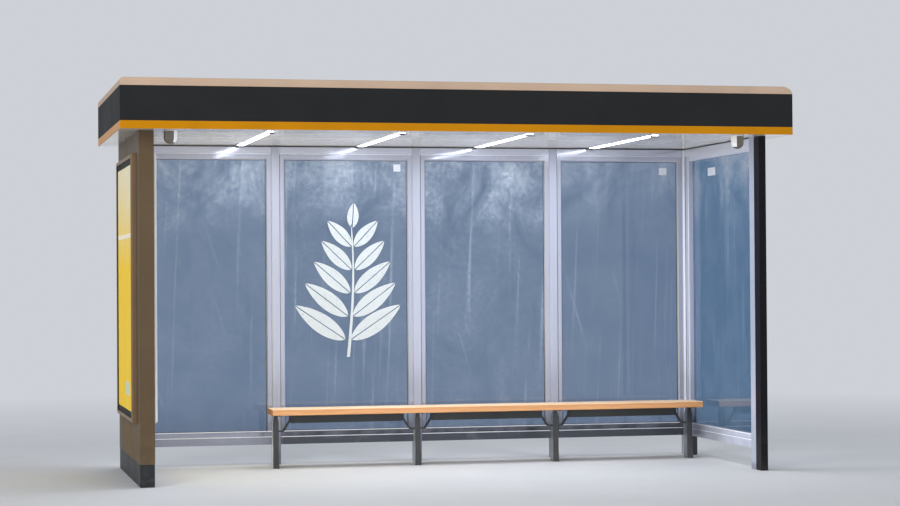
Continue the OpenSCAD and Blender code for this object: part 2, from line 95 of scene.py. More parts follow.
class Nodes:
    """A tree of shader nodes under construction."""

    def __init__(self, tree: bpy.types.NodeTree) -> None:
        """Start from the tree of a material or a world."""
        self.nodes = tree.nodes
        self.links = tree.links

    def feed(self, socket: Socket, value: object) -> None:
        """Set a socket to a plain value, or link it to another socket.

        Args:
            socket: The input to feed.
            value: A socket, a number, a vector or a colour.
        """
        if isinstance(value, Socket):
            self.links.new(value, socket)
        elif isinstance(value, (int, float)):
            socket.default_value = value
        else:
            socket.default_value = (*value, 1.0)[:len(socket.default_value)]

    def fill(self, node: bpy.types.Node, **values: object) -> bpy.types.Node:
        """Feed a node's inputs, named with underscores for spaces.

        Args:
            node: The node.
            values: What each input gets.

        Returns:
            The node.
        """
        for name, value in values.items():
            self.feed(node.inputs[name.replace("_", " ")], value)
        return node

    def add(self, kind: str, **values: object) -> bpy.types.Node:
        """Return a new node of a kind, such as Bump, with its inputs fed."""
        return self.fill(self.nodes.new("ShaderNode" + kind), **values)

    def reckon(self, operation: str, first: object, second: object) -> Socket:
        """Return the result of a sum on two values.

        Args:
            operation: The name of the operation, such as ADD.
            first: The first value or socket.
            second: The second value or socket.

        Returns:
            The value socket.
        """
        node = self.add("Math")
        node.operation = operation
        self.feed(node.inputs[0], first)
        self.feed(node.inputs[1], second)
        return node.outputs["Value"]

    def product(self, *values: object) -> Socket:
        """Return all the values and sockets multiplied together."""
        return reduce(lambda first, second: self.reckon("MULTIPLY", first, second), values)

    def seen(self) -> Socket:
        """Find the rays that look at the set itself, in a mirror or through glass.

        Returns:
            The value socket, which is 1 for those rays.
        """
        path = self.add("LightPath").outputs
        either = self.reckon("MAXIMUM", path["Is Camera Ray"], path["Is Glossy Ray"])
        return self.reckon("MAXIMUM", either, path["Is Transmission Ray"])

    def show(self, output: str, share: Socket, first: Socket, second: Socket) -> None:
        """Send the mix of two shaders to the tree's output.

        Args:
            output: The name of the output node.
            share: How much of the second shader there is, from 0 to 1.
            first: The first shader.
            second: The second shader.
        """
        mix = self.add("MixShader")
        for socket, value in zip(mix.inputs, (share, first, second)):
            self.feed(socket, value)
        self.feed(self.nodes[output].inputs["Surface"], mix.outputs[0])


class Shader(Nodes):
    """A procedural material under construction, around one Principled shader."""

    def __init__(self, name: str) -> None:
        """Start an empty material.

        Args:
            name: The material's name.
        """
        self.material = bpy.data.materials.new(name)
        self.material.use_nodes = True
        super().__init__(self.material.node_tree)
        self.surface = self.nodes["Principled BSDF"]

    def give(self, **values: object) -> None:
        """Feed the surface shader's sockets, named with underscores for spaces."""
        self.fill(self.surface, **values)

    def place(self, scale: Sequence[float] = (1, 1, 1), shift: Sequence[float] = (0, 0, 0),
              turn: Sequence[float] = (0, 0, 0)) -> Socket:
        """Return the piece's own position in metres, moved, turned and then scaled.

        Args:
            scale: How many pattern units go to a metre, along each turned axis.
            shift: What is taken off first, in metres.
            turn: How far the pattern is turned, in degrees.

        Returns:
            The vector socket.
        """
        node = self.add("Mapping", Vector=self.add("TexCoord").outputs["Object"], Location=shift,
                        Rotation=[math.radians(a) for a in turn], Scale=[1 / s for s in scale])
        node.vector_type = "TEXTURE"
        return node.outputs["Vector"]

    def along(self, axis: Axis) -> Socket:
        """Return the position in metres along one axis."""
        return self.add("SeparateXYZ", Vector=self.place()).outputs[axis.value]

    def noise(self, vector: Socket, scale: float = 1.0, detail: float = 2.0,
              distortion: float = 0.0, rough: float = 0.5) -> Socket:
        """Return a noise pattern from 0 to 1, in layers of growing detail, stirred by distortion."""
        return self.add("TexNoise", Vector=vector, Scale=scale, Detail=detail,
                        Distortion=distortion, Roughness=rough).outputs["Fac"]

    def cells(self, vector: Socket, scale: float = 1.0, jitter: float = 1.0) -> Socket:
        """Return the distance to the nearest of many points, which jitter scatters off a grid."""
        return self.add("TexVoronoi", Vector=vector, Scale=scale, Randomness=jitter).outputs["Distance"]

    def bands(self, vector: Socket, scale: float, distortion: float = 0.0, detail: float = 0.0) -> Socket:
        """Return soft bands that follow one another along Y.

        Args:
            vector: Where the pattern is read.
            scale: The pattern's scale.
            distortion: How far the bands are stirred.
            detail: How fine the stirring is.

        Returns:
            The value socket.
        """
        node = self.add("TexWave", Vector=vector, Scale=scale, Distortion=distortion, Detail=detail)
        node.bands_direction = "Y"
        return node.outputs["Fac"]

    def spread(self, value: Socket, low: float, high: float, to_low: float = 0.0,
               to_high: float = 1.0) -> Socket:
        """Return a value stretched from one range to another, with its ends held."""
        return self.add("MapRange", Value=value, From_Min=low, From_Max=high, To_Min=to_low,
                        To_Max=to_high).outputs["Result"]

    def blend(self, share: object, first: object, second: object) -> Socket:
        """Return the mix of two colours.

        Args:
            share: How much of the second colour there is, from 0 to 1.
            first: The first colour or socket.
            second: The second colour or socket.

        Returns:
            The colour socket.
        """
        node = self.add("Mix")
        node.data_type = "RGBA"
        for index, value in ((0, share), (6, first), (7, second)):
            self.feed(node.inputs[index], value)
        return node.outputs[2]

    def bump(self, height: Socket, depth: float, strength: float = 1.0) -> None:
        """Roughen the surface by a height pattern from 0 to 1, with its depth in metres."""
        self.give(Normal=self.add("Bump", Height=height, Distance=depth, Strength=strength).outputs["Normal"])


@dataclass(frozen=True)
class Finish:
    """What every finish has: a name and the record's material slot."""

    name: str
    slot: str

    def make(self) -> bpy.types.Material:
        """Build the material once and return it.

        Returns:
            The material.
        """
        found = bpy.data.materials.get(self.name)
        if found:
            return found
        shader = Shader(self.name)
        self.paint(shader)
        return shader.material

    def paint(self, shader: Shader) -> None:
        """Lay the finish's nodes in a material under construction."""
        raise NotImplementedError


@dataclass(frozen=True)
class Paint(Finish):
    """Powder coat on metal, with a faint orange peel, uneven tone and dust low down."""

    colour: Colour
    roughness: float = 0.42
    mottle: float = 0.10
    peel: float = 0.00012
    dust: float = 0.25
    dust_colour: Colour = srgb(150, 142, 132)
    dust_top: float = 0.35
    coat: float = 0.0
    shine: float = 0.25
    metal: float = 0.0
    sheen: float = 0.0
    uneven: float = 0.06

    def paint(self, shader: Shader) -> None:
        """Lay the nodes of the powder coat.

        Args:
            shader: The material under construction.
        """
        here = shader.place()
        tone = shader.noise(here, 2.6, detail=4.0, distortion=0.6)
        deep = [c * (1 - self.mottle) for c in self.colour]
        pale = [min(1.0, c * (1 + self.mottle)) for c in self.colour]
        base = shader.blend(shader.spread(tone, *NOISE_RANGE), deep, pale)
        height = shader.spread(shader.along(Axis.Z), 0.0, self.dust_top, 1.0, 0.0)
        patches = shader.spread(shader.noise(here, 9.0, detail=5.0, distortion=0.8), 0.35, 0.7)
        shader.give(
            Base_Color=shader.blend(shader.product(patches, self.dust, height), base, self.dust_colour),
            Roughness=shader.spread(tone, *NOISE_RANGE, self.roughness - self.uneven,
                                    self.roughness + self.uneven),
            Coat_Weight=self.coat,
            Specular_IOR_Level=self.shine,
            Metallic=self.metal,
            Sheen_Weight=self.sheen,
            Sheen_Roughness=0.3,
        )
        shader.bump(shader.noise(here, 420.0), self.peel)


@dataclass(frozen=True)
class Aluminium(Finish):
    """Satin anodised profile with fine lines along its length, darker low down.

    The darkening low down is road grime and painted shade together. Where dirt_and_shade_from is
    set to where the bench begins, the fuller darkening past it is the bench's painted
    shadow. It is full up to dirt_and_shade_low and ends at dirt_and_shade_top. Short of dirt_and_shade_from,
    along dirt_and_shade_along, only the share dirt_and_shade_less of it is there, and dirt_and_shade_edge is
    where it grows.
    """

    colour: Colour
    grain: Axis
    roughness: float = 0.32
    metal: float = 0.35
    dirt_and_shade: float = 0.75
    dirt_and_shade_colour: Colour = srgb(72, 75, 86)
    dirt_and_shade_top: float = 0.44
    dirt_and_shade_from: float = -9.0
    dirt_and_shade_along: Axis = Axis.X
    dirt_and_shade_low: float = 0.18
    dirt_and_shade_less: float = 0.30
    dirt_and_shade_edge: Pair = (-0.02, 0.16)
    shade: float = 0.94
    uneven: Pair = (-0.03, 0.05)

    def paint(self, shader: Shader) -> None:
        """Lay the nodes of the anodised profile.

        Args:
            shader: The material under construction.
        """
        here = shader.place()
        stretch = [90.0, 90.0, 90.0]
        stretch[self.grain.value] = 1.2
        lines = shader.noise(shader.place(stretch))
        cloud = shader.noise(here, 3.2, detail=4.0, distortion=0.5)
        deep = [c * self.shade for c in self.colour]
        # Painted shade with road grime: darker low down, and fuller past the start given along one axis,
        # where the bench's shadow is painted.
        low = shader.spread(shader.along(Axis.Z), self.dirt_and_shade_low, self.dirt_and_shade_top, self.dirt_and_shade, 0.0)
        reach = shader.spread(shader.along(self.dirt_and_shade_along),
                              *(self.dirt_and_shade_from + e for e in self.dirt_and_shade_edge), self.dirt_and_shade_less, 1.0)
        spots = shader.spread(shader.noise(here, 9.0, detail=5.0, distortion=0.5), *NOISE_RANGE, 0.75, 1.0)
        base = shader.blend(shader.spread(lines, *NOISE_RANGE), deep, self.colour)
        shader.give(
            Base_Color=shader.blend(shader.product(low, reach, spots), base, self.dirt_and_shade_colour),
            Metallic=self.metal,
            Roughness=shader.spread(cloud, *NOISE_RANGE, *(self.roughness + u for u in self.uneven)),
        )


@dataclass(frozen=True)
class ClearGlass(Finish):
    """Safety glass with a bluish body, a pale veil of frosting and painted lamp glow high up, and thin dried
    runs.
    """

    tint: Colour
    haze_colour: Colour
    haze: float = 0.30
    seed: float = 0.0
    cover: float = 1.0
    index: float = 1.5
    veil: float = 1.0
    veil_low: float = 1.70
    veil_high: float = 2.16

    def paint(self, shader: Shader) -> None:
        """Lay the nodes of the glass.

        Args:
            shader: The material under construction.
        """
        here = (self.seed, 0, self.seed)
        wide = shader.noise(shader.place((2.6, 2.6, 2.0), here), detail=6.0, distortion=0.7, rough=0.6)
        fine_haze = shader.noise(shader.place((34.0, 34.0, 34.0), here), detail=6.0, distortion=0.6, rough=0.72)
        # The veil grows towards the top: a frosted haze with the glow of the lamps on the glass painted into
        # it.
        rise = shader.spread(shader.along(Axis.Z), self.veil_low, self.veil_high, 0.18, 1.0)
        veil = shader.product(rise, shader.spread(fine_haze, 0.32, 0.68, 0.25, self.veil),
                              shader.spread(wide, 0.34, 0.62))
        upright = shader.noise(shader.place((26.0, 26.0, 0.7), here, (0, 2, 0)), distortion=0.3)
        slanted = shader.noise(shader.place((15.0, 15.0, 0.9), here, (0, -17, 0)), detail=3.0,
                               distortion=0.5)
        runs = shader.reckon("MAXIMUM", shader.spread(upright, 0.60, 0.74, 0.0, 0.30),
                             shader.spread(slanted, 0.66, 0.80, 0.0, 0.34))
        broken = shader.product(runs, shader.spread(fine_haze, 0.3, 0.6, 0.4))
        share = shader.reckon("ADD", veil, broken)
        shader.give(
            Base_Color=shader.blend(share, self.tint, self.haze_colour),
            Roughness=shader.spread(share, 0.0, 0.8, 0.01, 0.22),
            Transmission_Weight=shader.spread(share, 0.0, 0.8, 1.0, 1.0 - self.haze),
            IOR=self.index,
            Alpha=self.cover,
        )


@dataclass(frozen=True)
class Timber(Finish):
    """Oiled softwood with long grain, darker rings, a few knots and a paler top: painted light from above."""

    pale: Colour
    deep: Colour
    knot: Colour
    top: Colour
    lit_top_height: float
    seed: float = 0.0

    def paint(self, shader: Shader) -> None:
        """Lay the nodes of the timber.

        Args:
            shader: The material under construction.
        """
        shift = (self.seed, self.seed * 0.37, 0)
        rings = shader.bands(shader.place((0.35, 1.0, 1.0), shift, (35, 0, 0)), 17.0, 5.0, 2.0)
        fibre = shader.noise(shader.place((5.0, 190.0, 190.0), shift), detail=4.0, distortion=0.3)
        cloud = shader.noise(shader.place((1.4, 5.0, 5.0), shift), detail=3.0)
        spots = shader.cells(shader.place((1.7, 7.5, 9.0), shift))
        grain = shader.product(shader.spread(rings, 0.1, 0.95, 0.45, 1.0),
                               shader.spread(fibre, *NOISE_RANGE, 0.60, 1.0))
        # Painted light: the top face and the top few millimetres of the sides take the pale top colour, as if
        # lit from above.
        top_light = shader.spread(shader.along(Axis.Z), self.lit_top_height - 5 * MILLI,
                             self.lit_top_height - MILLI, 0.0, 0.9)
        base = shader.blend(top_light, shader.blend(grain, self.deep, self.pale), self.top)
        warm = shader.blend(shader.spread(cloud, 0.35, 0.7, 0.0, 0.35), base, self.deep)
        dots = shader.spread(spots, 0.07, 0.17, 0.85, 0.0)
        shader.give(
            Base_Color=shader.blend(dots, warm, self.knot),
            Roughness=shader.spread(fibre, *NOISE_RANGE, 0.46, 0.60),
        )
        shader.bump(grain, 0.4 * MILLI, 0.5)


@dataclass(frozen=True)
class Lamp(Finish):
    """A lit diffuser with the light's row of small sources just showing."""

    colour: Colour
    strength: float

    def paint(self, shader: Shader) -> None:
        """Lay the nodes of the diffuser.

        Args:
            shader: The material under construction.
        """
        row = shader.bands(shader.place(), 12.0)
        shader.give(
            Base_Color=shader.blend(row, srgb(238, 242, 248), srgb(250, 252, 255)),
            Roughness=0.35,
            Emission_Color=self.colour,
            Emission_Strength=self.strength,
        )


@dataclass(frozen=True)
class Film(Finish):
    """Matt white film stuck on glass, with fine holes in loose clusters."""

    colour: Colour
    hole: Colour
    pitch: float = 0.017

    def paint(self, shader: Shader) -> None:
        """Lay the nodes of the film.

        Args:
            shader: The material under construction.
        """
        here = shader.place()
        dots = shader.spread(shader.cells(here, 1 / self.pitch, 0.85), 0.17, 0.24, 1.0, 0.0)
        groups = shader.spread(shader.noise(here, 5.0), 0.42, 0.56)
        share = shader.product(dots, groups)
        shader.give(
            Base_Color=shader.blend(share, self.colour, self.hole),
            Roughness=shader.spread(share, 0.0, 1.0, 0.55, 0.75),
        )
        shader.bump(shader.noise(here, 160.0), 0.1 * MILLI)


@dataclass(frozen=True)
class Poster(Finish):
    """A plain printed sheet: cream above, yellow below, inside a black printed border.

    The fade and the band are given in shares of the sheet's height, the label in metres.
    """

    top: Colour
    foot: Colour
    low: Vector
    high: Vector
    border: Pair = (0.014, 0.040)
    fade: Pair = (0.57, 0.94)
    band: Pair = (0.696, 0.713)
    band_colour: Colour = srgb(232, 226, 208)
    label_low: Pair = (0.24, 0.14)
    label_size: Pair = (0.30, 0.09)
    label_colour: Colour = srgb(196, 210, 190)
    black: Colour = srgb(26, 26, 22)
    glow: float = 0.285

    def paint(self, shader: Shader) -> None:
        """Lay the nodes of the printed sheet.

        Args:
            shader: The material under construction.
        """
        def level(share: float) -> float:
            """Return the height at a share of the sheet's own."""
            return self.low.z + share * (self.high.z - self.low.z)

        cloud = shader.noise(shader.place((1.0, 2.2, 1.3)), detail=3.0, distortion=0.4)
        fade = shader.spread(shader.along(Axis.Z), *(level(share) for share in self.fade))
        stirred = shader.reckon("ADD", fade, shader.spread(cloud, *NOISE_RANGE, -0.12, 0.12))
        body = shader.blend(shader.spread(stirred, 0.0, 1.0), self.foot, self.top)
        band = self.window(shader, (self.low.y, level(self.band[0])), (self.high.y, level(self.band[1])))
        body = shader.blend(band, body, self.band_colour)
        corner = self.low.yz + Vector(self.label_low)
        label = self.window(shader, corner, corner + Vector(self.label_size))
        body = shader.blend(label, body, self.label_colour)
        border = Vector(self.border)
        inside = self.window(shader, self.low.yz + border, self.high.yz - border)
        print_colour = shader.blend(inside, self.black, body)
        shader.give(
            Base_Color=print_colour,
            Roughness=shader.spread(cloud, *NOISE_RANGE, 0.52, 0.64),
            Specular_IOR_Level=0.0,
            Emission_Color=print_colour,
            Emission_Strength=self.glow,
        )

    def window(self, shader: Shader, low: Sequence[float], high: Sequence[float]) -> Socket:
        """Return 1 inside a rectangle of the sheet and 0 outside it.

        Args:
            shader: The material under construction.
            low: The rectangle's low corner, Y and Z.
            high: The rectangle's high corner, Y and Z.

        Returns:
            The value socket.
        """
        sides = []
        for index, axis in enumerate((Axis.Y, Axis.Z)):
            place = shader.along(axis)
            sides += [shader.reckon("GREATER_THAN", place, low[index]),
                      shader.reckon("LESS_THAN", place, high[index])]
        return shader.product(*sides)


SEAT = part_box("bench_plank_front")
# Road grime and painted shade low on the rear frames and beams.
LOW_DIRT_AND_SHADE = srgb(78, 82, 90)
TAUPE_DUST = srgb(60, 54, 44)
ANTHRACITE = Paint("anthracite_coat", "anthracite", srgb(44, 45, 46), 0.62, 0.08, dust=0.0, shine=0.06)
BENCH_STEEL = Paint("bench_steel_coat", "anthracite", srgb(50, 53, 54), 0.45, 0.14, dust=0.12, shine=0.2)
LEG_STEEL = Paint("leg_steel_coat", "anthracite", srgb(36, 39, 40), 0.35, 0.14, dust=0.10, coat=0.8,
                  shine=0.5, sheen=1.0)
# Anthracite painted darker than the foot's: painted shade, on the right front post in the roof's shadow and
# on the lamps' end caps.
SHADED_STEEL = Paint("shaded_steel_coat", "anthracite", srgb(22, 22, 26), 0.45, 0.10, dust=0.06, shine=0.14)
FOOT_STEEL = Paint("foot_steel_coat", "anthracite", srgb(38, 42, 46), 0.50, 0.12, dust=0.16, shine=0.15)
YELLOW = Paint("yellow_coat", "yellow_paint", srgb(208, 138, 4), 0.42, 0.06, dust=0.0, shine=0.12,
               sheen=0.2)
# The cap is pale; its beige is the warm cast of street lighting, painted into its colour.
CAP_WARM_CAST = Paint("roof_cap_warm_cast", "roof_cap", srgb(206, 178, 154), 0.62, 0.07, 0.0004, dust=0.0)
SOFFIT = Paint("soffit_gloss", "soffit_white", srgb(230, 227, 214), 0.16, 0.03, 0.00001, dust=0.0,
               coat=0.5, shine=0.5)
TAUPE = Paint("taupe_coat", "taupe_paint", srgb(106, 89, 69), 0.46, 0.07, dust=0.45, shine=0.08,
              dust_colour=TAUPE_DUST, dust_top=0.9)
TAUPE_LOW = Paint("taupe_low_coat", "taupe_paint", srgb(121, 100, 67), 0.46, 0.07, dust=0.2, shine=0.02,
                  dust_colour=TAUPE_DUST, dust_top=0.9)
# Taupe painted paler on the case frame's front edge: painted light, where the pillar shades it.
TAUPE_EDGE_LIT = Paint("taupe_edge_painted_light", "taupe_paint", srgb(138, 114, 88), 0.40, 0.07, dust=0.0, shine=0.15)
ZINC = Paint("galvanised_tube", "zinc", srgb(150, 154, 160), 0.50, 0.20, dust=0.0)
BOARD = Paint("roof_board", "board", srgb(178, 150, 112), 0.75, 0.16, 0.0006, dust=0.0)
WHITE_HOUSING = Paint("white_housing", "camera_white", srgb(232, 226, 224), 0.36, 0.03, dust=0.0, shine=0.5)
# Near-white for the domes' lit sides: painted highlight.
DOME_LIT_SIDE = Paint("dome_lit_side_highlight", "camera_white", srgb(250, 250, 252), 0.36, 0.02, dust=0.0, shine=0.5)
# Glossy brown for the domes' globes: painted shade of their far sides.
DOME_SHADED_SIDE = Paint("dome_painted_shade", "camera_smoke", srgb(102, 93, 80), 0.10, 0.05, 0.00001, dust=0.0, coat=1.0,
               shine=0.5, metal=0.2)
# Black rubber of the gaskets, and the same black for the painted shadow lines beside the posts.
RUBBER_AND_SHADOW = Paint("black_gasket_and_painted_shadow", "anthracite", srgb(30, 31, 36), 0.70, 0.10, dust=0.0)
LABEL = Paint("white_label", "camera_white", srgb(210, 215, 225), 0.45, 0.02, dust=0.0)
# Dark grey for the thin strips where the walls meet the soffit.
DARK_LINE = Paint("dark_line_coat", "anthracite", srgb(44, 46, 52), 0.70, 0.10, dust=0.0)
# Each aluminium finish darkens low down with road grime and painted shade.
ALU_UP = Aluminium("satin_aluminium_upright", "aluminium", srgb(182, 186, 203), Axis.Z)
# The corner post's foot darkens with road grime and the painted shade of the bench's end.
ALU_CORNER = Aluminium("satin_aluminium_corner", "aluminium", srgb(184, 188, 206), Axis.Z, dirt_and_shade=0.3,
                       dirt_and_shade_top=0.5)
# The jamb's rear half darkens low down with road grime and the painted shade of the bench's end.
ALU_JAMB = Aluminium("satin_aluminium_jamb", "aluminium", srgb(189, 195, 213), Axis.Z, dirt_and_shade=1.4,
                     dirt_and_shade_colour=srgb(58, 61, 66), dirt_and_shade_from=0.0, dirt_and_shade_along=Axis.Y)
# From the bench's left end on, the frames and beams darken more: the bench's painted shadow.
ALU_FRAME = Aluminium("polished_aluminium_frame", "aluminium", srgb(184, 188, 205), Axis.Z, 0.09, 0.45,
                      dirt_and_shade=1.25, dirt_and_shade_colour=LOW_DIRT_AND_SHADE, dirt_and_shade_from=SEAT[0].x)
ALU_LONG = Aluminium("satin_aluminium_long", "aluminium", srgb(176, 180, 198), Axis.X, dirt_and_shade=1.2,
                     dirt_and_shade_colour=LOW_DIRT_AND_SHADE, dirt_and_shade_from=SEAT[0].x)
ALU_HEAD = Aluminium("polished_aluminium_header", "aluminium", srgb(206, 209, 226), Axis.X, 0.09, 0.5)
ALU_DEEP = Aluminium("satin_aluminium_deep", "aluminium", srgb(216, 220, 238), Axis.Y, dirt_and_shade=0.5)
# Aluminium painted paler on the side panel's top rail: painted light, where the roof shades it.
ALU_TOP_LIT = Aluminium("satin_aluminium_top_painted_light", "aluminium", srgb(234, 238, 252), Axis.Y)
# Aluminium painted paler on the inner case frame: painted light, where the left pillar shades it.
ALU_CASE_LIT = Aluminium("satin_aluminium_case_painted_light", "aluminium", srgb(228, 228, 226), Axis.Z)
# Near-white aluminium for thin lips, ribs and strips: painted highlights where edges catch the light.
PAINTED_HIGHLIGHT = Aluminium("bead_painted_highlight", "aluminium", srgb(246, 248, 255), Axis.Z, 0.34, 0.1, dirt_and_shade=0.0)
LAMP = Lamp("lit_lens", "lamp_lens", (0.93, 0.97, 1.0), 8.0)
FILM = Film("white_film", "camera_white", srgb(184, 190, 193), srgb(128, 147, 155))
PANE = ClearGlass("case_pane_glass", "case_pane", srgb(244, 248, 246), srgb(240, 244, 246), haze=0.04,
                  seed=3.0, cover=0.15, index=1.2)
# The fourth colour of each plank is its paler top: painted light from above.
WOOD_FRONT = Timber("timber_front_plank", "timber", srgb(200, 149, 101), srgb(178, 123, 77),
                    srgb(122, 74, 40), srgb(252, 226, 194), SEAT[1].z, 1.7)
WOOD_REAR = Timber("timber_rear_plank", "timber", srgb(197, 146, 99), srgb(175, 120, 75),
                   srgb(118, 72, 38), srgb(250, 224, 192), SEAT[1].z, 6.1)
GLASS_TINT = srgb(128, 148, 176)
SIDE_TINT = srgb(106, 142, 176)
GLASS_HAZE = srgb(214, 224, 236)


class Solid:
    """A mesh under construction, in metres, in the part's own frame."""

    def __init__(self) -> None:
        """Start an empty mesh."""
        self.mesh = bmesh.new()

    @classmethod
    def of_node(cls, node: str) -> "Solid":
        """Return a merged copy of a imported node's mesh, its flat faces made whole.

        Args:
            node: The node's name.

        Returns:
            The copy.
        """
        solid = cls()
        solid.mesh.from_mesh(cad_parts[node].data)
        bmesh.ops.remove_doubles(solid.mesh, verts=solid.mesh.verts, dist=MERGE_REACH)
        bmesh.ops.dissolve_limit(solid.mesh, angle_limit=FLAT_ANGLE, verts=solid.mesh.verts,
                                 edges=solid.mesh.edges)
        return solid

    def box(self, low: Sequence[float], high: Sequence[float]) -> None:
        """Add a block between two corners.

        Args:
            low: The lowest corner.
            high: The highest corner.
        """
        low, high = Vector(low), Vector(high)
        made = bmesh.ops.create_cube(self.mesh, size=1.0)["verts"]
        bmesh.ops.scale(self.mesh, vec=high - low, verts=made)
        bmesh.ops.translate(self.mesh, vec=(low + high) / 2, verts=made)

    def swept(self, profile: Sequence[Pair], centre: Vector, start: float, angle: float, steps: int,
              closed: bool) -> None:
        """Sweep an outline about an upright axis, as a bare skin.

        Args:
            profile: Points of the outline, each a radius and a height.
            centre: Where the axis stands.
            start: The direction of the first outline, in degrees from +X.
            angle: How far it goes round, in degrees.
            steps: How many steps go round.
            closed: Whether the last outline meets the first.
        """
        turn = Matrix.Rotation(math.radians(start), 3, "Z")
        points = [self.mesh.verts.new(centre + turn @ Vector((r, 0, z))) for r, z in profile]
        edges = [self.mesh.edges.new(pair) for pair in zip(points, points[1:])]
        bmesh.ops.spin(self.mesh, geom=points + edges, cent=centre, axis=(0, 0, 1),
                       angle=math.radians(angle), steps=steps, use_merge=closed, use_duplicate=False)

    def turned(self, profile: Sequence[Pair], centre: Vector) -> None:
        """Add a form turned fully about an upright axis.

        Args:
            profile: Points of the outline, each a radius and a height.
            centre: Where the axis stands.
        """
        self.swept(profile, centre, 0.0, 360.0, TURN_STEPS, True)
        bmesh.ops.remove_doubles(self.mesh, verts=self.mesh.verts, dist=MERGE_REACH)
        bmesh.ops.recalc_face_normals(self.mesh, faces=self.mesh.faces)

    def shell(self, profile: Sequence[Pair], centre: Vector, facing: float, angle: float,
              thickness: float) -> None:
        """Add a thin shell turned part of the way about an upright axis.

        Args:
            profile: Points of the outer outline, each a radius and a height.
            centre: Where the axis stands.
            facing: The direction of the shell's middle, in degrees from +X.
            angle: How far it goes round, in degrees.
            thickness: Its wall thickness in metres.
        """
        before = set(self.mesh.faces)
        self.swept(profile, centre, facing - angle / 2, angle, SHELL_STEPS, False)
        made = [f for f in self.mesh.faces if f not in before]
        bmesh.ops.solidify(self.mesh, geom=made, thickness=thickness)
        whole = [f for f in self.mesh.faces if f not in before]
        bmesh.ops.recalc_face_normals(self.mesh, faces=whole)

    def ring(self, low: Pair, high: Pair, profile: Sequence[Pair]) -> None:
        """Add a closed mitred ring that follows an upright rectangle, seen from the front.

        Args:
            low: The rectangle's low corner, X and Z.
            high: The rectangle's high corner, X and Z.
            profile: Points of the cross-section, each an inset and a place along Y.
        """
        middle = (low[0] + high[0]) / 2, (low[1] + high[1]) / 2

        def place(point: Vert, inset: float, depth: float) -> None:
            """Move a corner of the loop.

            Args:
                point: The corner.
                inset: How far it stands in from the rectangle.
                depth: Where it stands along Y.
            """
            x = high[0] - inset if point.co.x > middle[0] else low[0] + inset
            z = high[1] - inset if point.co.z > middle[1] else low[1] + inset
            point.co = x, depth, z

        corners = (low[0], low[1]), (high[0], low[1]), (high[0], high[1]), (low[0], high[1])
        made = [self.mesh.verts.new((x, 0, z)) for x, z in corners]
        for point in made:
            place(point, *profile[0])
        loop = [self.mesh.edges.new((made[i - 1], made[i])) for i in range(4)]
        for inset, depth in [*profile[1:], profile[0]]:
            grown = bmesh.ops.extrude_edge_only(self.mesh, edges=loop)["geom"]
            points = [g for g in grown if isinstance(g, Vert)]
            loop = [g for g in grown if isinstance(g, bmesh.types.BMEdge)]
            for point in points:
                place(point, inset, depth)
            made += points
        bmesh.ops.remove_doubles(self.mesh, verts=made, dist=MERGE_REACH)
        bmesh.ops.recalc_face_normals(self.mesh, faces=self.mesh.faces)

    def soften(self, width: float, segments: int = 2) -> None:
        """Round the solid's sharp outward edges.

        Args:
            width: How wide the rounding is, in metres.
            segments: How many steps go round it.
        """
        sharp = [e for e in self.mesh.edges
                 if len(e.link_faces) == 2 and e.is_convex and e.calc_face_angle(0.0) > SHARP_ANGLE]
        bmesh.ops.bevel(self.mesh, geom=sharp, offset=width, segments=segments, profile=0.5,
                        affect="EDGES", clamp_overlap=True, material=-1)

    def finish(self, name: str, finish: Finish, *nodes: str) -> None:
        """Make the mesh an object of the part.

        Args:
            name: The piece's name.
            finish: Its finish.
            nodes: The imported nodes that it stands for.
        """
        data = bpy.data.meshes.new(name)
        self.mesh.to_mesh(data)
        self.mesh.free()
        data.materials.append(finish.make())
        piece = bpy.data.objects.new(name, data)
        bpy.context.scene.collection.objects.link(piece)
        data.polygons.foreach_set("use_smooth", [True] * len(data.polygons))
        data.set_sharp_from_angle(angle=SMOOTH_ANGLE)
        piece.modifiers.new("even_shading", "WEIGHTED_NORMAL").keep_sharp = True
        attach(piece, BODY)
        if nodes:
            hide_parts(*nodes)
        LOG.info("made %s with %d faces", name, len(data.polygons))


def dress(node: str, finish: Finish) -> None:
    """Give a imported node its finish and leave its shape.

    Args:
        node: The node's name.
        finish: The finish.
    """
    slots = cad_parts[node].data.materials
    slots.clear()
    slots.append(finish.make())
    LOG.info("dressed %s", node)


def glaze(node: str, finish: Finish) -> None:
    """Give a packed sheet of glass its finish, and let light through it."""
    dress(node, finish)
    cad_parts[node].visible_shadow = False


def softened(node: str, finish: Finish, width: float, segments: int = 2) -> None:
    """Stand a softly edged copy of a node in for it.

    Args:
        node: The node's name.
        finish: The copy's finish.
        width: How wide the rounding is, in metres.
        segments: How many steps go round it.
    """
    solid = Solid.of_node(node)
    solid.soften(width, segments)
    solid.finish(node + "_shell", finish, node)


def blocks(name: str, finish: Finish, boxes: Iterable[tuple[Sequence[float], Sequence[float]]],
           width: float = 0.0, segments: int = 1) -> None:
    """Make one piece of several blocks.

    Args:
        name: The piece's name.
        finish: Its finish.
        boxes: The low and the high corner of each block.
        width: How wide the rounding of their edges is, in metres.
        segments: How many steps go round it.
    """
    solid = Solid()
    for low, high in boxes:
        solid.box(low, high)
    if width:
        solid.soften(width, segments)
    solid.finish(name, finish)


